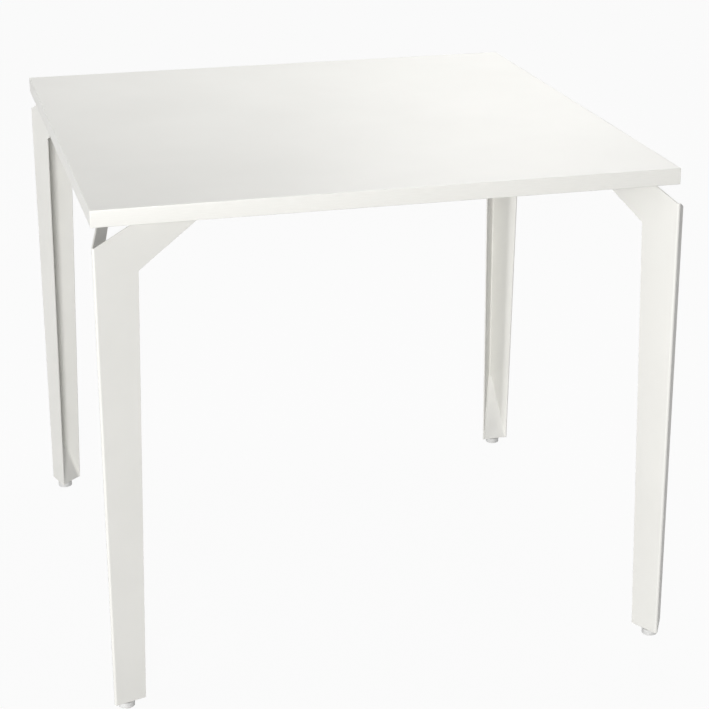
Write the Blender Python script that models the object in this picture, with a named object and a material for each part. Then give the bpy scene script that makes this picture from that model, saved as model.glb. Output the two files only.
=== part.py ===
"""Office desk: a square laminated worktop on four folded sheet-steel legs with levelling glides."""
import bpy
import bmesh
import math
from mathutils import Matrix, Vector

# Worktop
TOP_WIDTH = 0.800
TOP_DEPTH = 0.800
TABLE_HEIGHT = 0.720
CORE_THICKNESS = 0.0208
LAMINATE_THICKNESS = 0.0008
EDGE_BAND_THICKNESS = 0.002
EDGE_BAND_ROUNDING = 0.0008
SEAT_GAP = 0.0003

# Folded leg: a V of sheet steel, its fold outwards, with an arm on each flange that runs in under the top
SHEET_THICKNESS = 0.002
FOLD_ANGLE = math.radians(56)
FOLD_OUTER_RADIUS = 0.003
FLANGE_WIDTH_AT_ELBOW = 0.065
FLANGE_WIDTH_AT_FOOT = 0.0485
FOOT_EDGE_HEIGHT = 0.011
NOTCH_DROP = 0.027
NOTCH_WIDTH = 0.066
ELBOW_DROP = 0.067
ARM_LENGTH = 0.170
ARMLESS_DROP = 0.048

# The left pair stands under the corners. The right pair straddles the side edge, half of it outside
FOLD_INSET = 0.0003

# Sloping web and plate that close the foot of a leg
WEB_THICKNESS = 0.002
WEB_RISE = 0.111
WEB_TIP_DEPTH = 0.0082
FOOT_PLATE_THICKNESS = 0.003

# Levelling glide
GLIDE_DEPTH_IN_LEG = 0.028
STUD_RADIUS = 0.004
STUD_RISE = 0.020
STUD_SOCKET_DEPTH = 0.005
COLLAR_THICKNESS = 0.0022
COLLAR_ACROSS_FLATS = 0.013
NUT_THICKNESS = 0.0065
NUT_ACROSS_FLATS = 0.013
THREAD_CLEARANCE = 0.00015
PAD_RADIUS = 0.0115
PAD_FLOOR_CHAMFER = 0.001
PAD_TOP_ROUNDING = 0.0014

# Mounting plates under the top and the screws that hold them to its core
PLATE_THICKNESS = 0.003
PLATE_EDGE_MARGIN = 0.006
SCREW_RADIUS = 0.0025
SCREW_LENGTH = 0.018
SCREW_POINT_LENGTH = 0.003
SCREW_HEAD_RADIUS = 0.005
SCREW_HEAD_HEIGHT = 0.003
SCREW_SOCKET_RADIUS = 0.0019
SCREW_SOCKET_DEPTH = 0.0018
SCREW_HOLE_CLEARANCE = 0.0003
SCREW_HOLE_SPARE_DEPTH = 0.0012
SCREW_END_MARGIN = 0.012
SCREW_ARM_MARGIN = 0.018

# Round shapes
FOLD_STEPS = 8
ROUND_STEPS = 24
SCREW_STEPS = 16
HEAD_FLAT_SHARE = 0.8
STUD_CHAMFER_SHARE = 0.17
PAD_ROUNDING_STEPS = 4
CUT_OVERRUN = 0.002

# Levels and places worked out from the sizes above
HALF_FOLD = FOLD_ANGLE / 2
TOP_THICKNESS = CORE_THICKNESS + 2 * (LAMINATE_THICKNESS + SEAT_GAP)
UNDERSIDE = TABLE_HEIGHT - TOP_THICKNESS
PLATE_UNDERSIDE = UNDERSIDE - SEAT_GAP - PLATE_THICKNESS
ARM_TOP = PLATE_UNDERSIDE - SEAT_GAP
CORE_UNDERSIDE = UNDERSIDE + LAMINATE_THICKNESS + SEAT_GAP
BAND_ALLOWANCE = EDGE_BAND_THICKNESS + SEAT_GAP
FOLD_CENTRE = FOLD_OUTER_RADIUS / math.sin(HALF_FOLD)
FOLD_TANGENT = FOLD_OUTER_RADIUS / math.tan(HALF_FOLD)
LEFT_EDGE = -(TOP_WIDTH + FLANGE_WIDTH_AT_ELBOW * math.sin(HALF_FOLD)) / 2
RIGHT_EDGE = LEFT_EDGE + TOP_WIDTH
FRONT_EDGE = -TOP_DEPTH / 2
BACK_EDGE = TOP_DEPTH / 2
INNER_FACE_OFFSET = (SHEET_THICKNESS + SEAT_GAP) / math.cos(HALF_FOLD)
PLATE_NEAR_END = NOTCH_WIDTH * math.cos(HALF_FOLD)
PLATE_FAR_END = ARM_LENGTH * math.cos(HALF_FOLD)
FOOT_OPENING_DEPTH = FLANGE_WIDTH_AT_FOOT * math.cos(HALF_FOLD)


def clear_scene():
    for item in list(bpy.data.objects):
        bpy.data.objects.remove(item, do_unlink=True)


def make_material(name, colour, roughness, metallic=0.0):
    material = bpy.data.materials.new(name)
    material.use_nodes = True
    shader = material.node_tree.nodes["Principled BSDF"]
    shader.inputs["Base Color"].default_value = (*colour, 1.0)
    shader.inputs["Roughness"].default_value = roughness
    shader.inputs["Metallic"].default_value = metallic
    return material


def laminate_finish():
    return make_material("white_laminate", (0.90, 0.90, 0.89), 0.45)


def board_finish():
    return make_material("chipboard", (0.62, 0.50, 0.36), 0.9)


def edging_finish():
    return make_material("white_edging", (0.90, 0.90, 0.89), 0.4)


def powder_coat_finish():
    return make_material("white_powder_coat", (0.87, 0.87, 0.85), 0.5)


def zinc_finish():
    return make_material("zinc_plated_steel", (0.70, 0.71, 0.72), 0.35, 1.0)


def glide_finish():
    return make_material("pale_grey_plastic", (0.78, 0.78, 0.77), 0.5)


def mesh_from(shape, name):
    bmesh.ops.recalc_face_normals(shape, faces=shape.faces)
    mesh = bpy.data.meshes.new(name)
    shape.to_mesh(mesh)
    shape.free()
    return mesh


def place(name, mesh, material, parent=None, location=(0, 0, 0)):
    if not mesh.materials:
        mesh.materials.append(material)
    item = bpy.data.objects.new(name, mesh)
    bpy.context.scene.collection.objects.link(item)
    item.parent = parent
    item.location = location
    return item


def place_marker(name, location, turn=0.0, parent=None):
    marker = bpy.data.objects.new(name, None)
    bpy.context.scene.collection.objects.link(marker)
    marker.parent = parent
    marker.location = location
    marker.rotation_euler.z = turn
    return marker


def add_prism(shape, outline, bottom, top):
    """A flat outline raised from one level to another."""
    low = [shape.verts.new((x, y, bottom)) for x, y in outline]
    high = [shape.verts.new((x, y, top)) for x, y in outline]
    shape.faces.new(low[::-1])
    shape.faces.new(high)
    for i in range(len(outline)):
        shape.faces.new((low[i - 1], low[i], high[i], high[i - 1]))


def prism_mesh(name, outline, bottom, top):
    shape = bmesh.new()
    add_prism(shape, outline, bottom, top)
    return mesh_from(shape, name)


def rectangle(left, right, front, back):
    return [(left, front), (right, front), (right, back), (left, back)]


def round_outline(radius, centre=(0, 0), steps=ROUND_STEPS):
    turns = [2 * math.pi * step / steps for step in range(steps)]
    return [(centre[0] + radius * math.cos(turn), centre[1] + radius * math.sin(turn)) for turn in turns]


def hexagon(across_flats):
    return round_outline(across_flats / 2 / math.cos(math.pi / 6), steps=6)


def turned_mesh(name, profile, steps=ROUND_STEPS):
    """A turned solid whose profile starts and ends on its axis."""
    shape = bmesh.new()
    points = [shape.verts.new((radius, 0, level)) for radius, level in profile]
    edges = [shape.edges.new(pair) for pair in zip(points, points[1:])]
    bmesh.ops.spin(shape, geom=points + edges, cent=(0, 0, 0), axis=(0, 0, 1), angle=2 * math.pi,
                   steps=steps, use_merge=True)
    bmesh.ops.remove_doubles(shape, verts=shape.verts, dist=SEAT_GAP / 10)
    mesh = mesh_from(shape, name)
    mesh.shade_smooth()
    mesh.set_sharp_from_angle(angle=math.radians(30))
    return mesh


def hide_cutter(cutter):
    cutter.hide_render = True
    cutter.hide_viewport = False
    cutter.display_type = "WIRE"


def cut(item, cutter, operation="DIFFERENCE"):
    modifier = item.modifiers.new("cut", "BOOLEAN")
    modifier.operation = operation
    modifier.solver = "EXACT"
    modifier.object = cutter
    hide_cutter(cutter)


def screw_places(fold_place, facing, spots):
    """Screw centres in the desk's own frame."""
    stance = Matrix.Translation((*fold_place, 0)) @ Matrix.Rotation(facing, 4, "Z")
    return [stance @ Vector((x, y, 0)) for x, y in spots]


def bore_cutter(name, centres, radius, bottom, top):
    shape = bmesh.new()
    for centre in centres:
        add_prism(shape, round_outline(radius, centre[:2]), bottom, top)
    return place(name, mesh_from(shape, name), board)


def make_worktop(centres):
    """Chipboard core, a laminate sheet on each face and a strip of edging on each side."""
    left = LEFT_EDGE + BAND_ALLOWANCE
    right = RIGHT_EDGE - BAND_ALLOWANCE
    front = FRONT_EDGE + BAND_ALLOWANCE
    back = BACK_EDGE - BAND_ALLOWANCE
    inside = rectangle(left, right, front, back)
    core_top = CORE_UNDERSIDE + CORE_THICKNESS
    hole_radius = SCREW_RADIUS + SCREW_HOLE_CLEARANCE
    hole_top = PLATE_UNDERSIDE - SEAT_GAP + SCREW_LENGTH + SCREW_HOLE_SPARE_DEPTH

    core = place("worktop_core", prism_mesh("worktop_core", inside, CORE_UNDERSIDE, core_top), board)
    cut(core, bore_cutter("core_holes", centres, hole_radius, UNDERSIDE - CUT_OVERRUN, hole_top))

    lower = prism_mesh("laminate_lower", inside, UNDERSIDE, UNDERSIDE + LAMINATE_THICKNESS)
    lower = place("laminate_lower", lower, laminate)
    cut(lower, bore_cutter("laminate_holes", centres, hole_radius, UNDERSIDE - CUT_OVERRUN, core_top))

    upper_bottom = core_top + SEAT_GAP
    upper = prism_mesh("laminate_upper", inside, upper_bottom, upper_bottom + LAMINATE_THICKNESS)
    place("laminate_upper", upper, laminate)

    strips = {
        "edge_band_front": rectangle(LEFT_EDGE, RIGHT_EDGE, FRONT_EDGE, FRONT_EDGE + EDGE_BAND_THICKNESS),
        "edge_band_back": rectangle(LEFT_EDGE, RIGHT_EDGE, BACK_EDGE - EDGE_BAND_THICKNESS, BACK_EDGE),
        "edge_band_left": rectangle(LEFT_EDGE, LEFT_EDGE + EDGE_BAND_THICKNESS, front, back),
        "edge_band_right": rectangle(RIGHT_EDGE - EDGE_BAND_THICKNESS, RIGHT_EDGE, front, back),
    }
    for name, outline in strips.items():
        strip = place(name, prism_mesh(name, outline, UNDERSIDE, TABLE_HEIGHT), edging)
        rounding = strip.modifiers.new("rounding", "BEVEL")
        rounding.width = EDGE_BAND_ROUNDING
        rounding.segments = 2
        rounding.limit_method = "ANGLE"


def flange_outline(has_arm):
    """One flange from the fold outwards, as (distance from the fold line, level) points."""
    notch_foot = UNDERSIDE - NOTCH_DROP
    elbow = UNDERSIDE - ELBOW_DROP
    outline = [(FOLD_TANGENT, FOOT_EDGE_HEIGHT), (FLANGE_WIDTH_AT_FOOT, FOOT_EDGE_HEIGHT)]
    if has_arm:
        outline.append((FLANGE_WIDTH_AT_ELBOW, elbow))
        cut_share = (UNDERSIDE - ARM_TOP) / ELBOW_DROP
        outline.append((ARM_LENGTH - cut_share * (ARM_LENGTH - FLANGE_WIDTH_AT_ELBOW), ARM_TOP))
        cut_share = (UNDERSIDE - ARM_TOP) / NOTCH_DROP
        outline.append((NOTCH_WIDTH - cut_share * (NOTCH_WIDTH - FOLD_TANGENT), ARM_TOP))
    else:
        outline.append((FLANGE_WIDTH_AT_ELBOW, UNDERSIDE - ARMLESS_DROP))
    outline.append((FOLD_TANGENT, notch_foot))
    return outline


def leg_sheet_mesh(name, arms):
    """The folded sheet's outer face: two flanges joined by a round fold. Arms are +1 and -1."""
    shape = bmesh.new()
    seams = {}
    for side in (1, -1):
        along = Vector((math.cos(HALF_FOLD), side * math.sin(HALF_FOLD), 0))
        points = []
        for distance, level in flange_outline(side in arms):
            points.append(shape.verts.new(along * distance + Vector((0, 0, level))))
        shape.faces.new(points if side == 1 else points[::-1])
        seams[side] = (points[0], points[-1])

    start = math.pi / 2 + HALF_FOLD
    sweep = math.pi - FOLD_ANGLE
    columns = [seams[1]]
    for step in range(1, FOLD_STEPS):
        turn = start + sweep * step / FOLD_STEPS
        x = FOLD_CENTRE + FOLD_OUTER_RADIUS * math.cos(turn)
        y = FOLD_OUTER_RADIUS * math.sin(turn)
        columns.append(tuple(shape.verts.new((x, y, seam.co.z)) for seam in seams[1]))
    columns.append(seams[-1])
    for (low, high), (next_low, next_high) in zip(columns, columns[1:]):
        shape.faces.new((low, high, next_high, next_low))
    mesh = mesh_from(shape, name)
    middle = sum((face.center.x * face.normal.x for face in mesh.polygons))
    if middle > 0:
        mesh.flip_normals()
    return mesh


def place_leg_sheet(name, mesh, marker):
    sheet = place(name, mesh, powder_coat, marker)
    wall = sheet.modifiers.new("wall", "SOLIDIFY")
    wall.thickness = SHEET_THICKNESS
    wall.offset = -1
    wall.use_even_offset = True
    return sheet


def inside_half_width(depth):
    """Half the room between the flanges at a depth behind the fold."""
    return depth * math.tan(HALF_FOLD) - INNER_FACE_OFFSET


def foot_web_mesh():
    """Sloping plate from the fold's inside, up the leg, down to the open side of the foot."""
    shape = bmesh.new()
    level_thickness = WEB_THICKNESS * math.hypot(1, (FOOT_OPENING_DEPTH - WEB_TIP_DEPTH) / WEB_RISE)
    corners = []
    for behind in (0, level_thickness):
        bottom = FOOT_OPENING_DEPTH - behind
        tip = WEB_TIP_DEPTH - behind
        low = inside_half_width(bottom)
        high = inside_half_width(tip)
        top = FOOT_EDGE_HEIGHT + WEB_RISE
        ring = [(bottom, -low, FOOT_EDGE_HEIGHT), (bottom, low, FOOT_EDGE_HEIGHT)]
        ring += [(tip, high, top), (tip, -high, top)]
        corners.append([shape.verts.new(point) for point in ring])
    outer, inner = corners
    shape.faces.new(outer)
    shape.faces.new(inner[::-1])
    for i in range(len(outer)):
        shape.faces.new((outer[i - 1], inner[i - 1], inner[i], outer[i]))
    return mesh_from(shape, "foot_web")


def foot_plate_mesh():
    """Flat triangle in the foot, bored for the stud of the glide."""
    slope = (FOOT_OPENING_DEPTH - WEB_TIP_DEPTH) / WEB_RISE
    web_room = WEB_THICKNESS * math.hypot(1, slope) + slope * FOOT_PLATE_THICKNESS
    open_side = FOOT_OPENING_DEPTH - web_room - SEAT_GAP
    narrow = WEB_TIP_DEPTH
    outline = [(narrow, inside_half_width(narrow)), (narrow, -inside_half_width(narrow))]
    outline += [(open_side, -inside_half_width(open_side)), (open_side, inside_half_width(open_side))]
    return prism_mesh("foot_plate", outline, FOOT_EDGE_HEIGHT, FOOT_EDGE_HEIGHT + FOOT_PLATE_THICKNESS)


def make_glide(suffix, marker, stud_mesh, collar_mesh, pad_mesh):
    axis = place_marker("glide_axis_" + suffix, (GLIDE_DEPTH_IN_LEG, 0, 0), parent=marker)
    stud = place("glide_stud_" + suffix, stud_mesh, zinc, axis)
    collar = place("collar_block_" + suffix, collar_mesh, zinc, axis)
    cut(stud, collar, "UNION")
    place("glide_pad_" + suffix, pad_mesh, glide_plastic, axis)
    return axis


def pad_mesh():
    """Plastic foot with a flat sole, a straight side, a rounded top edge and a socket for the stud."""
    top = FOOT_EDGE_HEIGHT - SEAT_GAP - COLLAR_THICKNESS - SEAT_GAP
    socket = STUD_RADIUS + SEAT_GAP
    floor = top - STUD_SOCKET_DEPTH
    profile = [(0, 0), (PAD_RADIUS - PAD_FLOOR_CHAMFER, 0), (PAD_RADIUS, PAD_FLOOR_CHAMFER)]
    for step in range(PAD_ROUNDING_STEPS + 1):
        turn = math.pi / 2 * step / PAD_ROUNDING_STEPS
        radius = PAD_RADIUS - PAD_TOP_ROUNDING * (1 - math.cos(turn))
        profile.append((radius, top - PAD_TOP_ROUNDING * (1 - math.sin(turn))))
    profile += [(socket, top), (socket, floor), (0, floor)]
    return turned_mesh("glide_pad", profile)


def stud_mesh():
    collar_top = FOOT_EDGE_HEIGHT - SEAT_GAP
    pad_top = collar_top - COLLAR_THICKNESS - SEAT_GAP
    bottom = pad_top - STUD_SOCKET_DEPTH + SEAT_GAP
    top = FOOT_EDGE_HEIGHT + STUD_RISE
    chamfer = STUD_RADIUS * STUD_CHAMFER_SHARE
    profile = [(0, bottom), (STUD_RADIUS, bottom), (STUD_RADIUS, top - chamfer)]
    profile += [(STUD_RADIUS - chamfer, top), (0, top)]
    return turned_mesh("glide_stud", profile)


def collar_mesh():
    collar_top = FOOT_EDGE_HEIGHT - SEAT_GAP
    return prism_mesh("collar_block", hexagon(COLLAR_ACROSS_FLATS), collar_top - COLLAR_THICKNESS, collar_top)


def nut_mesh():
    bottom = FOOT_EDGE_HEIGHT + FOOT_PLATE_THICKNESS + SEAT_GAP
    return prism_mesh("weld_nut", hexagon(NUT_ACROSS_FLATS), bottom, bottom + NUT_THICKNESS)


def stud_hole(name, marker):
    radius = STUD_RADIUS + THREAD_CLEARANCE
    top = FOOT_EDGE_HEIGHT + FOOT_PLATE_THICKNESS + NUT_THICKNESS + CUT_OVERRUN
    mesh = prism_mesh(name, round_outline(radius), FOOT_EDGE_HEIGHT - CUT_OVERRUN, top)
    return place(name, mesh, zinc, marker, (GLIDE_DEPTH_IN_LEG, 0, 0))


def corner_plate_outline():
    """Plate that spans both arms of a corner leg."""
    spread = math.tan(HALF_FOLD)
    near = PLATE_NEAR_END
    far = PLATE_FAR_END
    return [(near, -near * spread), (far, -far * spread), (far, far * spread), (near, near * spread)]


def screw_spots(arms):
    """Two screws in line at the far end of a plate and one at its narrow end."""
    near = PLATE_NEAR_END + SCREW_END_MARGIN
    far = PLATE_FAR_END - 2 * SCREW_END_MARGIN
    beside_arm = far * math.tan(HALF_FOLD) - SCREW_ARM_MARGIN
    if len(arms) == 2:
        return [(near, 0), (far, beside_arm), (far, -beside_arm)]
    beside_edge = arms[0] * (PLATE_EDGE_MARGIN + SCREW_END_MARGIN)
    return [(near, beside_edge), (far, beside_edge), (far, arms[0] * beside_arm)]


def in_line_plate_outline(side):
    """Plate between the one arm of an in-line leg and the side of the top."""
    near = PLATE_NEAR_END
    far = PLATE_FAR_END
    spread = math.tan(HALF_FOLD)
    margin = side * PLATE_EDGE_MARGIN
    return [(near, margin), (far, margin), (far, side * far * spread), (near, side * near * spread)]


def make_mounting_plate(name, marker, outline, spots):
    mesh = prism_mesh(name, outline, PLATE_UNDERSIDE, PLATE_UNDERSIDE + PLATE_THICKNESS)
    plate = place(name, mesh, powder_coat, marker)
    shape = bmesh.new()
    for spot in spots:
        outline = round_outline(SCREW_RADIUS + SCREW_HOLE_CLEARANCE, spot)
        add_prism(shape, outline, PLATE_UNDERSIDE - CUT_OVERRUN, UNDERSIDE + CUT_OVERRUN)
    cut(plate, place(name + "_holes", mesh_from(shape, name + "_holes"), powder_coat, marker))


def make_leg(suffix, fold_place, facing, arms, shared):
    """One leg with its mounting plate, foot pieces and glide. Facing is the way its open side looks."""
    marker = place_marker("leg_axis_" + suffix, (*fold_place, 0), facing)
    place_leg_sheet("leg_sheet_" + suffix, leg_sheet_mesh("leg_sheet_" + suffix, arms), marker)
    spots = screw_spots(arms)
    outline = corner_plate_outline() if len(arms) == 2 else in_line_plate_outline(arms[0])
    make_mounting_plate("mounting_plate_" + suffix, marker, outline, spots)
    place("foot_web_" + suffix, shared["web"], powder_coat, marker)
    foot_plate = place("foot_plate_" + suffix, shared["plate"], powder_coat, marker)
    nut = place("weld_nut_" + suffix, shared["nut"], zinc, marker, (GLIDE_DEPTH_IN_LEG, 0, 0))
    hole = stud_hole("stud_hole_" + suffix, marker)
    cut(foot_plate, hole)
    cut(nut, hole)
    make_glide(suffix, marker, shared["stud"], shared["collar"], shared["pad"])
    head_seat = PLATE_UNDERSIDE - SEAT_GAP
    for number, spot in enumerate(spots, 1):
        place(f"mounting_screw_{suffix}_{number}", shared["screw"], zinc, marker, (*spot, head_seat))
    return screw_places(fold_place, facing, spots)


def mounting_screw_mesh():
    """Pan-headed screw, point up, with a driving socket in its head."""
    head_bottom = -SCREW_HEAD_HEIGHT
    socket_top = head_bottom + SCREW_SOCKET_DEPTH
    profile = [(0, socket_top), (SCREW_SOCKET_RADIUS, socket_top), (SCREW_SOCKET_RADIUS, head_bottom)]
    profile += [(SCREW_HEAD_RADIUS * HEAD_FLAT_SHARE, head_bottom), (SCREW_HEAD_RADIUS, head_bottom / 2)]
    profile.append((SCREW_HEAD_RADIUS, 0))
    profile += [(SCREW_RADIUS, 0), (SCREW_RADIUS, SCREW_LENGTH - SCREW_POINT_LENGTH), (0, SCREW_LENGTH)]
    return turned_mesh("mounting_screw", profile, SCREW_STEPS)


clear_scene()
laminate = laminate_finish()
board = board_finish()
edging = edging_finish()
powder_coat = powder_coat_finish()
zinc = zinc_finish()
glide_plastic = glide_finish()

shared_meshes = {
    "web": foot_web_mesh(),
    "plate": foot_plate_mesh(),
    "nut": nut_mesh(),
    "stud": stud_mesh(),
    "collar": collar_mesh(),
    "pad": pad_mesh(),
    "screw": mounting_screw_mesh(),
}
quarter = math.pi / 2
corner_inset = FOLD_INSET + FOLD_OUTER_RADIUS - FOLD_CENTRE * math.cos(quarter / 2)
in_line_inset = FOLD_INSET + FOLD_OUTER_RADIUS - FOLD_CENTRE
legs = (
    ("front_left", (LEFT_EDGE + corner_inset, FRONT_EDGE + corner_inset), quarter / 2, (1, -1)),
    ("back_left", (LEFT_EDGE + corner_inset, BACK_EDGE - corner_inset), -quarter / 2, (1, -1)),
    ("front_right", (RIGHT_EDGE, FRONT_EDGE + in_line_inset), quarter, (1,)),
    ("back_right", (RIGHT_EDGE, BACK_EDGE - in_line_inset), -quarter, (-1,)),
)
all_centres = []
for leg_name, fold_place, facing, arms in legs:
    all_centres += make_leg(leg_name, fold_place, facing, arms, shared_meshes)
make_worktop(all_centres)
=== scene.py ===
import math

import bmesh
import bpy
from mathutils import Matrix, Vector


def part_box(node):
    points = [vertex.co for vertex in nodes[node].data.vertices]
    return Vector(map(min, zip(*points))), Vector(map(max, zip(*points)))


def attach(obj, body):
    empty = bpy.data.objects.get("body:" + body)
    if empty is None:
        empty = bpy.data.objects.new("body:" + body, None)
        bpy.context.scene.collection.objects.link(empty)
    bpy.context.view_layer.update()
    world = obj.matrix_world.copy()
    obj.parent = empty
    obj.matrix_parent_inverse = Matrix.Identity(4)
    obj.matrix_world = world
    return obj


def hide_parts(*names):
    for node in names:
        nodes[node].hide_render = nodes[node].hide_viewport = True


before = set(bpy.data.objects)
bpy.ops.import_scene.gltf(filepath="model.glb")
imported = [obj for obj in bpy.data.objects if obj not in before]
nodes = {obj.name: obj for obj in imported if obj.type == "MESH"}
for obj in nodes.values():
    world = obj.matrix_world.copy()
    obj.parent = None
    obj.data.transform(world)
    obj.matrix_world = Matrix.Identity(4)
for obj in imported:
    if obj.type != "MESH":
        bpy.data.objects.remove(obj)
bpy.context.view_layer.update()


# Worktop board: a chipboard core under a white laminate sheet on each face.
# The core is pressed from glued wood chips and is only seen inside its screw holes.
# The laminate is bonded to it and has a faint pearl texture pressed into its face.
def start_material(name, roughness, metallic=0.0):
    material = bpy.data.materials.new(name)
    material.use_nodes = True
    shader = material.node_tree.nodes["Principled BSDF"]
    shader.inputs["Roughness"].default_value = roughness
    shader.inputs["Metallic"].default_value = metallic
    return material, material.node_tree, shader


def grain(tree, scale, detail, stretch=(1.0, 1.0, 1.0)):
    """Noise fixed to the piece, with its scale in grains to the metre."""
    where = tree.nodes.new("ShaderNodeTexCoord")
    spacing = tree.nodes.new("ShaderNodeMapping")
    spacing.inputs["Scale"].default_value = stretch
    noise = tree.nodes.new("ShaderNodeTexNoise")
    noise.inputs["Scale"].default_value = scale
    noise.inputs["Detail"].default_value = detail
    tree.links.new(where.outputs["Object"], spacing.inputs["Vector"])
    tree.links.new(spacing.outputs["Vector"], noise.inputs["Vector"])
    return noise.outputs["Fac"]


noise_low, noise_high = 0.3, 0.7


def shade_between(tree, share, dark, light, low=noise_low, high=noise_high):
    """A colour that follows a noise share, dark where it is low."""
    ramp = tree.nodes.new("ShaderNodeValToRGB")
    ramp.color_ramp.elements[0].position = low
    ramp.color_ramp.elements[0].color = (*dark, 1.0)
    ramp.color_ramp.elements[1].position = high
    ramp.color_ramp.elements[1].color = (*light, 1.0)
    tree.links.new(share, ramp.inputs["Fac"])
    return ramp.outputs["Color"]


def spread_between(tree, share, low, high):
    """A value that follows a noise share from low to high."""
    spread = tree.nodes.new("ShaderNodeMapRange")
    spread.inputs["From Min"].default_value = noise_low
    spread.inputs["From Max"].default_value = noise_high
    spread.inputs["To Min"].default_value = low
    spread.inputs["To Max"].default_value = high
    tree.links.new(share, spread.inputs["Value"])
    return spread.outputs["Result"]


def raise_surface(tree, shader, share, height, strength, under=None):
    """A fine relief of that height, laid over the relief under it if there is one."""
    bump = tree.nodes.new("ShaderNodeBump")
    bump.inputs["Strength"].default_value = strength
    bump.inputs["Distance"].default_value = height
    tree.links.new(share, bump.inputs["Height"])
    if under:
        tree.links.new(under, bump.inputs["Normal"])
    tree.links.new(bump.outputs["Normal"], shader.inputs["Normal"])
    return bump.outputs["Normal"]


plastic_white, plastic_white_light = (0.79, 0.783, 0.745), (0.82, 0.813, 0.775)


def white_laminate():
    material, tree, shader = start_material("white laminate", roughness=0.4)
    cloud = grain(tree, scale=6.0, detail=4.0)
    tone = shade_between(tree, cloud, plastic_white, plastic_white_light)
    tree.links.new(tone, shader.inputs["Base Color"])
    pearl = grain(tree, scale=900.0, detail=2.0)
    tree.links.new(spread_between(tree, pearl, low=0.34, high=0.46), shader.inputs["Roughness"])
    raise_surface(tree, shader, pearl, height=0.00004, strength=0.35)
    return material


def chipboard():
    material, tree, shader = start_material("chipboard", roughness=0.9)
    where = tree.nodes.new("ShaderNodeTexCoord")
    chips = tree.nodes.new("ShaderNodeTexVoronoi")
    chips.inputs["Scale"].default_value = 420.0
    tree.links.new(where.outputs["Object"], chips.inputs["Vector"])
    dark_chip, light_chip = (0.33, 0.22, 0.12), (0.62, 0.47, 0.30)
    tone = shade_between(tree, chips.outputs["Color"], dark_chip, light_chip, low=0.1, high=0.9)
    tree.links.new(tone, shader.inputs["Base Color"])
    raise_surface(tree, shader, chips.outputs["Distance"], height=0.0003, strength=0.6)
    return material


def dress(node, material):
    """Gives a CAD node that stays as it is its finish."""
    nodes[node].data.materials.clear()
    nodes[node].data.materials.append(material)


def set_out(name, shape, material):
    """Turns a finished shape into an object of the scene."""
    mesh = bpy.data.meshes.new(name)
    shape.to_mesh(mesh)
    shape.free()
    mesh.materials.append(material)
    item = bpy.data.objects.new(name, mesh)
    bpy.context.scene.collection.objects.link(item)
    return item


def keep_piece(name, shape, material, stands_for, body):
    """A named piece that stands for its CAD node and moves with its body."""
    piece = set_out(name, shape, material)
    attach(piece, body)
    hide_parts(stands_for)
    return piece


def start_block(low, high):
    """A plain block between two corners, ready to be shaped."""
    shape = bmesh.new()
    bmesh.ops.create_cube(shape, size=1.0)
    size = [b - a for a, b in zip(low, high)]
    bmesh.ops.scale(shape, verts=shape.verts, vec=size)
    bmesh.ops.translate(shape, verts=shape.verts, vec=[(a + b) / 2 for a, b in zip(low, high)])
    return shape


round_profile = 0.5


def soften(shape, edges, width, steps):
    """Rounds edges over to a small radius."""
    bmesh.ops.bevel(shape, geom=edges, affect="EDGES", offset=width, segments=steps,
                    profile=round_profile, material=-1)


def shade_smooth(shape):
    for face in shape.faces:
        face.smooth = True


laminate = white_laminate()
dress("worktop_core", chipboard())
dress("laminate_lower", laminate)
band_joint = 0.00025
laminate_easing = 0.00012
closeness = 0.0001
low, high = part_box("laminate_upper")
high_face = high[2]
sheet = start_block((low[0] - band_joint, low[1] - band_joint, low[2]),
                    (high[0] + band_joint, high[1] + band_joint, high_face))
rim = [edge for edge in sheet.edges if all(vert.co.z > high_face - closeness for vert in edge.verts)]
soften(sheet, rim, laminate_easing, steps=2)
keep_piece("top_laminate", sheet, laminate, "laminate_upper", "desk")


# Edging: four strips of white plastic 2 mm thick, glued round the board.
# The front and back strips run the full width and the side strips butt between them.
# Their outer edges are milled to a small radius and the faces keep a faint milling line.
def white_edging():
    material, tree, shader = start_material("white edging", roughness=0.38)
    streak = grain(tree, scale=60.0, detail=4.0, stretch=(1.0, 1.0, 14.0))
    tone = shade_between(tree, streak, plastic_white, plastic_white_light)
    tree.links.new(tone, shader.inputs["Base Color"])
    tree.links.new(spread_between(tree, streak, low=0.32, high=0.46), shader.inputs["Roughness"])
    pearl = grain(tree, scale=1100.0, detail=2.0)
    raise_surface(tree, shader, pearl, height=0.00003, strength=0.3)
    return material


edging = white_edging()
band_radius = 0.0011
crisp_angle, soft_angle, sheet_angle = math.radians(35), math.radians(40), math.radians(50)
across, deep = 0, 1
band_sides = {"front": (deep, -1), "back": (deep, 1), "left": (across, -1), "right": (across, 1)}
for side, (axis, outward) in band_sides.items():
    low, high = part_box("edge_band_" + side)
    band = start_block(low, high)
    outer_face = high[axis] if outward > 0 else low[axis]
    upright, level = [], []
    for edge in band.edges:
        first, last = (vert.co for vert in edge.verts)
        on_face = all(abs(end[axis] - outer_face) < closeness for end in (first, last))
        if on_face and abs(first.z - last.z) < closeness:
            level.append(edge)
        elif on_face and axis == deep:
            upright.append(edge)
    soften(band, upright + level, band_radius, steps=4)
    shade_smooth(band)
    piece = keep_piece("edging_" + side, band, edging, "edge_band_" + side, "desk")
    piece.data.set_sharp_from_angle(angle=soft_angle)


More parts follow.
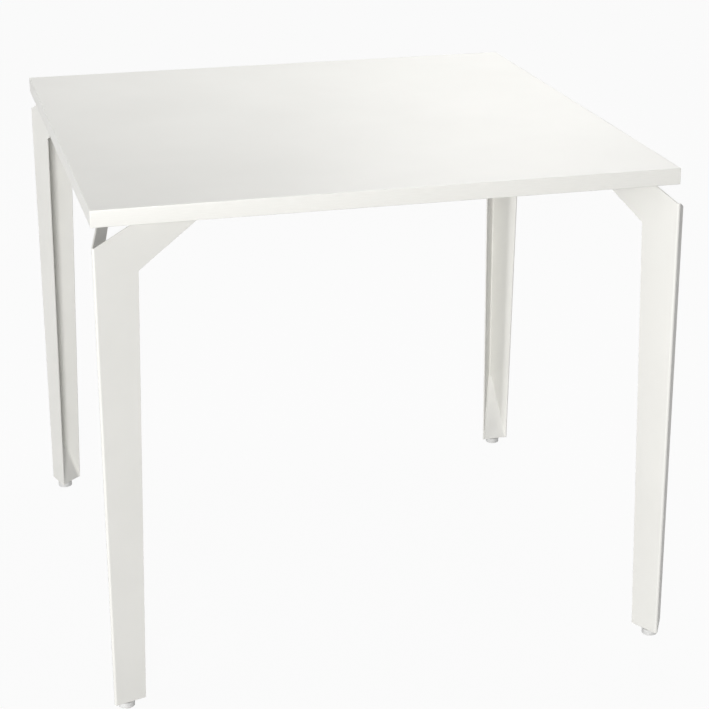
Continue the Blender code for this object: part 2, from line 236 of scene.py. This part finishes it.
# Legs: each is one sheet of 2 mm steel, laser cut and folded once to a V of 56 degrees.
# Each flange that lies under the top has an arm, and a notch is cut over the fold.
# The sheet is powder coated white, with edges that the coat rounds off a little.
def white_powder_coat():
    material, tree, shader = start_material("white powder coat", roughness=0.5)
    cloud = grain(tree, scale=9.0, detail=4.0)
    tone = shade_between(tree, cloud, (0.785, 0.778, 0.742), (0.815, 0.808, 0.772))
    tree.links.new(tone, shader.inputs["Base Color"])
    peel = grain(tree, scale=520.0, detail=1.5)
    fine = grain(tree, scale=1700.0, detail=2.0)
    tree.links.new(spread_between(tree, fine, low=0.42, high=0.58), shader.inputs["Roughness"])
    orange_peel = raise_surface(tree, shader, peel, height=0.00012, strength=0.45)
    raise_surface(tree, shader, fine, height=0.00003, strength=0.3, under=orange_peel)
    return material


powder_coat = white_powder_coat()
sheet_thickness = 0.002
fold_radius = 0.003
half_fold = math.radians(28)
fold_centre = fold_radius / math.sin(half_fold)
fold_tangent = fold_radius / math.tan(half_fold)
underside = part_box("edge_band_front")[0][2]
arm_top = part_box("leg_sheet_front_left")[1][2]
foot_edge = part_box("leg_sheet_front_left")[0][2]
foot_width, elbow_width = 0.0485, 0.065
notch_drop, elbow_drop, armless_drop = 0.027, 0.067, 0.048
notch_width, arm_length = 0.066, 0.170
cut_corner_radius, coated_edge_radius = 0.0012, 0.0004
fold_steps = 20
weld_distance = 0.00002

top_left, top_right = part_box("edge_band_front")[0][0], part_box("edge_band_front")[1][0]
top_front, top_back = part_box("edge_band_front")[0][1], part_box("edge_band_back")[1][1]
fold_inset = 0.0003
corner_inset = fold_inset + fold_radius - fold_centre * math.cos(math.pi / 4)
in_line_inset = fold_inset + fold_radius - fold_centre
leg_stances = {
    "front_left": (top_left + corner_inset, top_front + corner_inset, math.pi / 4, (1, -1)),
    "back_left": (top_left + corner_inset, top_back - corner_inset, -math.pi / 4, (1, -1)),
    "front_right": (top_right, top_front + in_line_inset, math.pi / 2, (1,)),
    "back_right": (top_right, top_back - in_line_inset, -math.pi / 2, (-1,)),
}


def stand_in_place(shape, leg):
    """Moves a shape made about the fold at the origin to where that leg stands."""
    x, y, turn, _ = leg_stances[leg]
    stance = Matrix.Translation((x, y, 0)) @ Matrix.Rotation(turn, 4, "Z")
    bmesh.ops.transform(shape, matrix=stance, verts=shape.verts)


def lay_out_flange(shape, side, has_arm):
    """One flange of the outer face, with its cut corners rounded as the laser leaves them."""
    along = Vector((math.cos(half_fold), side * math.sin(half_fold), 0))
    outline = [(fold_tangent, foot_edge), (foot_width, foot_edge)]
    if has_arm:
        outline.append((elbow_width, underside - elbow_drop))
        cut = (underside - arm_top) / elbow_drop
        outline.append((arm_length - cut * (arm_length - elbow_width), arm_top))
        cut = (underside - arm_top) / notch_drop
        outline.append((notch_width - cut * (notch_width - fold_tangent), arm_top))
    else:
        outline.append((elbow_width, underside - armless_drop))
    outline.append((fold_tangent, underside - notch_drop))
    corners = [shape.verts.new(along * reach + Vector((0, 0, level))) for reach, level in outline]
    shape.faces.new(corners)
    seam = shape.edges.get((corners[0], corners[-1]))
    free_corners = corners[2:-1]
    bmesh.ops.bevel(shape, geom=free_corners, affect="VERTICES", offset=cut_corner_radius, segments=4,
                    profile=round_profile, material=-1)
    return seam


for leg, (*_, arms) in leg_stances.items():
    folded = bmesh.new()
    seam = lay_out_flange(folded, 1, 1 in arms)
    lay_out_flange(folded, -1, -1 in arms)
    bmesh.ops.spin(folded, geom=[seam] + list(seam.verts), cent=(fold_centre, 0, 0), axis=(0, 0, 1),
                   angle=math.pi - 2 * half_fold, steps=fold_steps)
    bmesh.ops.remove_doubles(folded, verts=folded.verts, dist=weld_distance)
    bmesh.ops.recalc_face_normals(folded, faces=folded.faces)
    if sum(face.normal.x * face.calc_area() for face in folded.faces) > 0:
        bmesh.ops.reverse_faces(folded, faces=folded.faces)
    shade_smooth(folded)
    stand_in_place(folded, leg)
    piece = keep_piece("leg_" + leg, folded, powder_coat, "leg_sheet_" + leg, "desk")
    wall = piece.modifiers.new("sheet thickness", "SOLIDIFY")
    wall.thickness = sheet_thickness
    wall.offset = -1
    wall.use_even_offset = True
    rounding = piece.modifiers.new("coated edges", "BEVEL")
    rounding.width = coated_edge_radius
    rounding.segments = 3
    rounding.limit_method = "ANGLE"
    rounding.angle_limit = sheet_angle
    smooth = piece.modifiers.new("flat faces", "WEIGHTED_NORMAL")
    smooth.keep_sharp = True


# Foot webs: a sloping steel plate closes the foot of each leg.
# It runs from inside the fold down to the open side of the foot.
# It is welded to both flanges with a small bead and powder coated together with the leg.
web_thickness = 0.002
web_rise = 0.111
web_tip_depth = 0.0082
bead_radius, bead_steps = 0.0012, 8
bead_inset, bead_back, bead_forward = 0.0002, 0.0007, 0.0004
bead_start, bead_end = 0.0015, 0.001
foot_depth = foot_width * math.cos(half_fold)
inner_face = sheet_thickness / math.cos(half_fold)


def half_room(depth):
    """Half the room between the two flanges at a depth behind the fold."""
    return depth * math.tan(half_fold) - inner_face


def parts_of(made, kind):
    """The new vertices or edges that an operator says it made."""
    return [part for part in made["geom"] if isinstance(part, kind)]


for leg in leg_stances:
    web = bmesh.new()
    tip, foot = web_tip_depth, foot_depth
    slanted = web_thickness * math.hypot(1, (foot - tip) / web_rise)
    front = [
        web.verts.new((foot, -half_room(foot), foot_edge)),
        web.verts.new((foot, half_room(foot), foot_edge)),
        web.verts.new((tip, half_room(tip), foot_edge + web_rise)),
        web.verts.new((tip, -half_room(tip), foot_edge + web_rise)),
    ]
    plate = bmesh.ops.extrude_face_region(web, geom=[web.faces.new(front)])
    moved = parts_of(plate, bmesh.types.BMVert)
    bmesh.ops.translate(web, verts=moved, vec=(-slanted, 0, 0))
    for vert in moved:
        vert.co.y *= half_room(vert.co.x) / half_room(vert.co.x + slanted)
    bmesh.ops.recalc_face_normals(web, faces=web.faces)
    bottom = [edge for edge in web.edges if all(vert.co.z < foot_edge + closeness for vert in edge.verts)]
    soften(web, bottom, coated_edge_radius, steps=3)
    for side in (1, -1):
        bead_low = Vector((foot - bead_back, side * (half_room(foot) - bead_inset),
                           foot_edge + bead_start))
        bead_high = Vector((tip + bead_forward, side * (half_room(tip) - bead_inset),
                            foot_edge + web_rise - bead_end))
        run = bead_high - bead_low
        bead = bmesh.ops.create_cone(web, cap_ends=True, segments=bead_steps, radius1=bead_radius,
                                     radius2=bead_radius, depth=run.length)
        lean = run.to_track_quat("Z", "Y").to_matrix().to_4x4()
        middle = Matrix.Translation((bead_low + bead_high) / 2)
        bmesh.ops.transform(web, matrix=middle @ lean, verts=bead["verts"])
    shade_smooth(web)
    stand_in_place(web, leg)
    piece = keep_piece("closing_web_" + leg, web, powder_coat, "foot_web_" + leg, "desk")
    piece.data.set_sharp_from_angle(angle=sheet_angle)


# Foot plates and weld nuts: a flat steel triangle in each foot, bored for the glide.
# The zinc-plated nut is welded on above it, and the web then hides all but the plate's underside.
def zinc_plate():
    material, tree, shader = start_material("zinc plate", roughness=0.32, metallic=1.0)
    cloud = grain(tree, scale=260.0, detail=3.0)
    tone = shade_between(tree, cloud, (0.56, 0.57, 0.59), (0.70, 0.70, 0.69))
    tree.links.new(tone, shader.inputs["Base Color"])
    fine = grain(tree, scale=2400.0, detail=2.0)
    tree.links.new(spread_between(tree, fine, low=0.26, high=0.42), shader.inputs["Roughness"])
    raise_surface(tree, shader, fine, height=0.00002, strength=0.3)
    return material


zinc = zinc_plate()
for leg in leg_stances:
    dress("foot_plate_" + leg, powder_coat)
    dress("weld_nut_" + leg, zinc)


# Glides: a round foot of pale moulded nylon pressed on the head of an M8 stud.
# The stud screws up through the foot plate, and the flats of its collar take a spanner.
# The top edge of the foot is rounded, and a shallow ring is moulded into its sole.
def glide_nylon():
    material, tree, shader = start_material("glide nylon", roughness=0.5)
    cloud = grain(tree, scale=120.0, detail=3.0)
    tone = shade_between(tree, cloud, (0.66, 0.66, 0.65), (0.70, 0.70, 0.69))
    tree.links.new(tone, shader.inputs["Base Color"])
    fine = grain(tree, scale=2600.0, detail=2.0)
    tree.links.new(spread_between(tree, fine, low=0.44, high=0.60), shader.inputs["Roughness"])
    raise_surface(tree, shader, fine, height=0.00003, strength=0.4)
    return material


def spin_upright(shape, points, turn, steps, rise=0.0, closed=False):
    """Sweeps a line of points round the upright axis, rising at each step if it is a thread."""
    edges = [shape.edges.new(pair) for pair in zip(points, points[1:])]
    bmesh.ops.spin(shape, geom=points + edges, cent=(0, 0, 0), axis=(0, 0, 1), angle=turn,
                   dvec=(0, 0, rise), steps=steps, use_merge=closed)


def turn_profile(shape, profile, steps):
    """Turns a profile of (radius, level) points into a closed round shape."""
    points = [shape.verts.new((radius, 0, level)) for radius, level in profile]
    spin_upright(shape, points, 2 * math.pi, steps, closed=True)
    bmesh.ops.remove_doubles(shape, verts=shape.verts, dist=weld_distance / 2)
    bmesh.ops.recalc_face_normals(shape, faces=shape.faces)
    shade_smooth(shape)


def rounded_corner(centre_radius, centre_level, size, steps, start):
    """Points of a quarter round, from its start angle in quarter turns."""
    points = []
    for step in range(steps + 1):
        angle = math.pi / 2 * (start + step / steps)
        points.append((centre_radius + size * math.cos(angle), centre_level + size * math.sin(angle)))
    return points


nylon = glide_nylon()
stud_radius, neck_radius = 0.004, 0.0038
sole_ring_depth, ring_inner_share, ring_outer_share = 0.0006, 0.50, 0.54
sole_rounding, shoulder_rounding = 0.0010, 0.0014
stud_socket_radius, socket_mouth_radius = 0.0041, 0.0044
socket_mouth_depth, stud_socket_depth = 0.0003, 0.0045
pad_steps, shank_steps, turn_steps = 56, 24, 20
seat_gap = 0.0003
collar_flats, collar_easing = 0.013, 0.0003
collar_radius = collar_flats / 2 / math.cos(math.pi / 6)
thread_pitch, thread_depth = 0.00125, 0.0005
core_radius = stud_radius - thread_depth
ridge_root, ridge_crest = core_radius - 0.0001, stud_radius - 0.00005
crest_start_share, crest_end_share = 0.42, 0.58
thread_clearance, plain_tip = 0.0002, 0.0014
end_chamfer = 0.0004


def glide_foot(radius, top):
    """The moulded foot, with a blind socket that holds the head of the stud."""
    pad = bmesh.new()
    profile = [(0.0, sole_ring_depth), (radius * ring_inner_share, sole_ring_depth)]
    profile += [(radius * ring_outer_share, 0.0)]
    profile += rounded_corner(radius - sole_rounding, sole_rounding, sole_rounding, steps=5, start=-1)
    shoulder_level = top - shoulder_rounding
    profile += rounded_corner(radius - shoulder_rounding, shoulder_level, shoulder_rounding,
                              steps=6, start=0)
    profile += [(socket_mouth_radius, top), (stud_socket_radius, top - socket_mouth_depth)]
    profile += [(stud_socket_radius, top - stud_socket_depth), (0.0, top - stud_socket_depth)]
    turn_profile(pad, profile, pad_steps)
    return pad


def threaded_shank(bottom, collar_low, collar_high, top):
    """The plain neck and the core of the stud, with one ridge wound up it as a thread."""
    shank = bmesh.new()
    turn_profile(shank, [
        (0, bottom), (neck_radius, bottom), (neck_radius, collar_low + thread_clearance),
        (core_radius, collar_low + 2 * thread_clearance), (core_radius, top - end_chamfer),
        (core_radius - end_chamfer, top), (0, top),
    ], shank_steps)
    start = collar_high + thread_clearance
    turns = int((top - start - plain_tip) / thread_pitch)
    section = [
        (ridge_root, 0.0), (ridge_crest, crest_start_share),
        (ridge_crest, crest_end_share), (ridge_root, 1.0),
    ]
    ridge = [shank.verts.new((radius, 0, start + thread_pitch * share)) for radius, share in section]
    spin_upright(shank, ridge, 2 * math.pi * turns, turn_steps * turns, thread_pitch / turn_steps)
    shade_smooth(shank)
    return shank, start


def glide_stud(bottom, collar_low, collar_high, top):
    """The six-sided collar and the shank in one shape."""
    stud = bmesh.new()
    collar = bmesh.ops.create_cone(stud, cap_ends=True, segments=6, radius1=collar_radius,
                                   radius2=collar_radius, depth=collar_high - collar_low)
    bmesh.ops.translate(stud, verts=collar["verts"], vec=(0, 0, (collar_low + collar_high) / 2))
    soften(stud, list(stud.edges), collar_easing, steps=2)
    shank, thread_start = threaded_shank(bottom, collar_low, collar_high, top)
    shank_mesh = bpy.data.meshes.new("shank")
    shank.to_mesh(shank_mesh)
    shank.free()
    stud.from_mesh(shank_mesh)
    bpy.data.meshes.remove(shank_mesh)

    thread_faces = []
    outward_sum = 0.0
    for face in stud.faces:
        middle = face.calc_center_median()
        if middle.xy.length > ridge_root and middle.z > thread_start:
            thread_faces.append(face)
            outward_sum += face.normal.xy.dot(middle.xy)
    if outward_sum < 0:
        bmesh.ops.reverse_faces(stud, faces=thread_faces)
    return stud


for leg, (*_, facing, _) in leg_stances.items():
    body = "glide_" + leg
    low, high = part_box("glide_pad_" + leg)
    stud_low, stud_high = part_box("glide_stud_" + leg)
    centre = Vector(((low[0] + high[0]) / 2, (low[1] + high[1]) / 2, 0))

    pad = glide_foot((high[0] - low[0]) / 2, high[2])
    bmesh.ops.translate(pad, verts=pad.verts, vec=centre)
    piece = keep_piece("glide_foot_" + leg, pad, nylon, "glide_pad_" + leg, body)
    piece.data.set_sharp_from_angle(angle=soft_angle)

    stud = glide_stud(stud_low[2], high[2] + seat_gap, foot_edge - seat_gap, stud_high[2])
    bmesh.ops.rotate(stud, verts=stud.verts, cent=(0, 0, 0), matrix=Matrix.Rotation(facing, 3, "Z"))
    bmesh.ops.translate(stud, verts=stud.verts, vec=centre)
    piece = keep_piece("levelling_stud_" + leg, stud, zinc, "glide_stud_" + leg, body)
    piece.data.set_sharp_from_angle(angle=crisp_angle)


# Mounting plates: 3 mm steel plates on the arms of each leg, powder coated with it.
# Their edges are eased a little, and each plate is bored for three screws.
plate_easing = 0.0003
flat_angle = math.radians(1)
for leg in leg_stances:
    node = "mounting_plate_" + leg
    mount = bmesh.new()
    mount.from_mesh(nodes[node].data)
    bmesh.ops.remove_doubles(mount, verts=mount.verts, dist=weld_distance)
    bmesh.ops.dissolve_limit(mount, angle_limit=flat_angle, verts=mount.verts, edges=mount.edges)
    sharp = []
    for edge in mount.edges:
        if len(edge.link_faces) == 2 and edge.calc_face_angle() > sheet_angle:
            sharp.append(edge)
    soften(mount, sharp, plate_easing, steps=2)
    shade_smooth(mount)
    piece = keep_piece("arm_plate_" + leg, mount, powder_coat, node, "desk")
    piece.data.set_sharp_from_angle(angle=crisp_angle)


# Mounting screws: pan-headed chipboard screws, zinc plated, three to a plate.
# Each head has a hexagonal socket for the driver and sits flat against its plate.
screw_socket_radius, screw_socket_depth = 0.0021, 0.0018
head_face_radius, head_height = 0.0040, 0.003
head_steps = 24
pan_outline = [(0.0046, 0.0004), (0.0049, 0.0011), (0.0050, 0.0018), (0.0050, head_height)]
shank_radius, point_radius, point_length = 0.0025, 0.0003, 0.003


def pan_head_screw(bottom, top):
    """The screw from its socket outwards over the head and up the shank to the point."""
    screw = bmesh.new()
    socket = bmesh.ops.create_circle(screw, cap_ends=True, segments=6, radius=screw_socket_radius)
    bmesh.ops.translate(screw, verts=socket["verts"], vec=(0, 0, bottom + screw_socket_depth))
    wall = bmesh.ops.extrude_edge_only(screw, edges=list(screw.edges))
    mouth_verts = parts_of(wall, bmesh.types.BMVert)
    bmesh.ops.translate(screw, verts=mouth_verts, vec=(0, 0, -screw_socket_depth))
    mouth = parts_of(wall, bmesh.types.BMEdge)
    head_face = bmesh.ops.create_circle(screw, cap_ends=False, segments=head_steps,
                                        radius=head_face_radius)
    bmesh.ops.translate(screw, verts=head_face["verts"], vec=(0, 0, bottom))
    loop = [edge for edge in screw.edges if all(vert in head_face["verts"] for vert in edge.verts)]
    bmesh.ops.bridge_loops(screw, edges=mouth + loop)
    rings = [(radius, bottom + rise) for radius, rise in pan_outline]
    rings += [(shank_radius, bottom + head_height), (shank_radius, top - point_length)]
    rings += [(point_radius, top)]
    for radius, level in rings:
        grown = bmesh.ops.extrude_edge_only(screw, edges=loop)
        verts = parts_of(grown, bmesh.types.BMVert)
        spread = radius / verts[0].co.xy.length
        bmesh.ops.scale(screw, verts=verts, vec=(spread, spread, 1))
        bmesh.ops.translate(screw, verts=verts, vec=(0, 0, level - verts[0].co.z))
        loop = parts_of(grown, bmesh.types.BMEdge)
    bmesh.ops.holes_fill(screw, edges=loop, sides=0)
    bmesh.ops.recalc_face_normals(screw, faces=screw.faces)
    shade_smooth(screw)
    return screw


for leg in leg_stances:
    for number in (1, 2, 3):
        node = f"mounting_screw_{leg}_{number}"
        low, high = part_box(node)
        screw = pan_head_screw(low[2], high[2])
        centre = Vector(((low[0] + high[0]) / 2, (low[1] + high[1]) / 2, 0))
        bmesh.ops.translate(screw, verts=screw.verts, vec=centre)
        piece = keep_piece(f"plate_screw_{leg}_{number}", screw, zinc, node, "desk")
        piece.data.set_sharp_from_angle(angle=crisp_angle)


# Studio: a plain pale floor and a white world, with soft lamps at the front, left, back and overhead.
# Camera, mirror and glass rays see floor and world as white, and all other rays as a dim grey.
# The floor keeps a faint shadow of the desk.
white = (1.0, 1.0, 1.0, 1.0)
floor_grey = (0.45, 0.45, 0.45, 1.0)
floor_white_share = 0.95
floor_reach, floor_drop = 30.0, 0.0004
world_strength = 0.2


def seen_directly(tree):
    """One for camera, mirror and glass rays, and zero for the rays that light the desk."""
    path = tree.nodes.new("ShaderNodeLightPath")
    seen = path.outputs["Is Camera Ray"]
    for kind in ("Is Glossy Ray", "Is Transmission Ray"):
        either = tree.nodes.new("ShaderNodeMath")
        either.operation = "MAXIMUM"
        tree.links.new(seen, either.inputs[0])
        tree.links.new(path.outputs[kind], either.inputs[1])
        seen = either.outputs[0]
    return seen


def mix_shaders(tree, share, plain, seen, surface):
    """Shows the second shader by that share and the first one for the rest."""
    blend = tree.nodes.new("ShaderNodeMixShader")
    tree.links.new(share, blend.inputs["Fac"])
    tree.links.new(plain, blend.inputs[1])
    tree.links.new(seen, blend.inputs[2])
    tree.links.new(blend.outputs["Shader"], surface)


def studio_floor():
    material, tree, shader = start_material("studio floor", roughness=0.9)
    shader.inputs["Base Color"].default_value = floor_grey
    shader.inputs["Specular IOR Level"].default_value = 0.1
    glow = tree.nodes.new("ShaderNodeEmission")
    glow.inputs["Color"].default_value = white
    glow.inputs["Strength"].default_value = 1.0
    share = tree.nodes.new("ShaderNodeMath")
    share.operation = "MULTIPLY"
    share.inputs[1].default_value = floor_white_share
    tree.links.new(seen_directly(tree), share.inputs[0])
    mix_shaders(tree, share.outputs[0], shader.outputs["BSDF"], glow.outputs["Emission"],
                tree.nodes["Material Output"].inputs["Surface"])
    return material


ground = bmesh.new()
bmesh.ops.create_grid(ground, x_segments=1, y_segments=1, size=floor_reach)
floor = set_out("floor", ground, studio_floor())
floor.location.z = -floor_drop

world = bpy.data.worlds.new("white studio")
world.use_nodes = True
bpy.context.scene.world = world
sky = world.node_tree
sky_light = sky.nodes["Background"]
sky_light.inputs["Color"].default_value = white
sky_light.inputs["Strength"].default_value = world_strength
backdrop = sky.nodes.new("ShaderNodeBackground")
backdrop.inputs["Color"].default_value = white
mix_shaders(sky, seen_directly(sky), sky_light.outputs["Background"], backdrop.outputs["Background"],
            sky.nodes["World Output"].inputs["Surface"])


def hang_lamp(name, place, aim, size, power):
    light = bpy.data.lights.new(name, "AREA")
    light.shape = "DISK"
    light.size = size
    light.energy = power
    lamp = bpy.data.objects.new(name, light)
    bpy.context.scene.collection.objects.link(lamp)
    lamp.location = place
    lamp.rotation_euler = (Vector(aim) - Vector(place)).to_track_quat("-Z", "Y").to_euler()


legs_middle, top_middle, top_back_right = (0.0, 0.0, 0.40), (0.1, 0.1, 0.72), (0.2, 0.2, 0.72)
hang_lamp("front lamp", (-1.7, -5.2, 1.5), legs_middle, size=2.0, power=212.0)
hang_lamp("left lamp", (-5.5, -1.2, 1.2), legs_middle, size=2.0, power=108.0)
hang_lamp("overhead lamp", (0.35, 0.35, 2.4), top_middle, size=0.9, power=17.0)
hang_lamp("back lamp", (0.9, 1.6, 1.9), top_back_right, size=1.2, power=8.0)

# Camera: at the photograph's viewing angle, from a fit to the desk's corners and legs.
# The photograph is taken as a crop, so the lens is shifted a little to the side and down.
photo_width, focal_pixels = 709.0, 1935.063
yaw, pitch = 0.260483, 0.339655
left_of_top, ahead_of_top, eye_level = 0.254362, 2.345932, 1.402009
side_shift, down_shift = -0.029328, -0.051902
film_width = 36.0
camera_data = bpy.data.cameras.new("camera")
camera_data.sensor_width = film_width
camera_data.lens = focal_pixels * film_width / photo_width
camera_data.shift_x = side_shift
camera_data.shift_y = down_shift
camera = bpy.data.objects.new("camera", camera_data)
camera.location = (top_left - left_of_top, top_front - ahead_of_top, eye_level)
aim = Matrix.Rotation(-yaw, 4, "Z") @ Matrix.Rotation(math.pi / 2 - pitch, 4, "X")
camera.rotation_euler = aim.to_euler()
bpy.context.scene.collection.objects.link(camera)
bpy.context.scene.camera = camera
bpy.context.scene.view_settings.view_transform = "Standard"
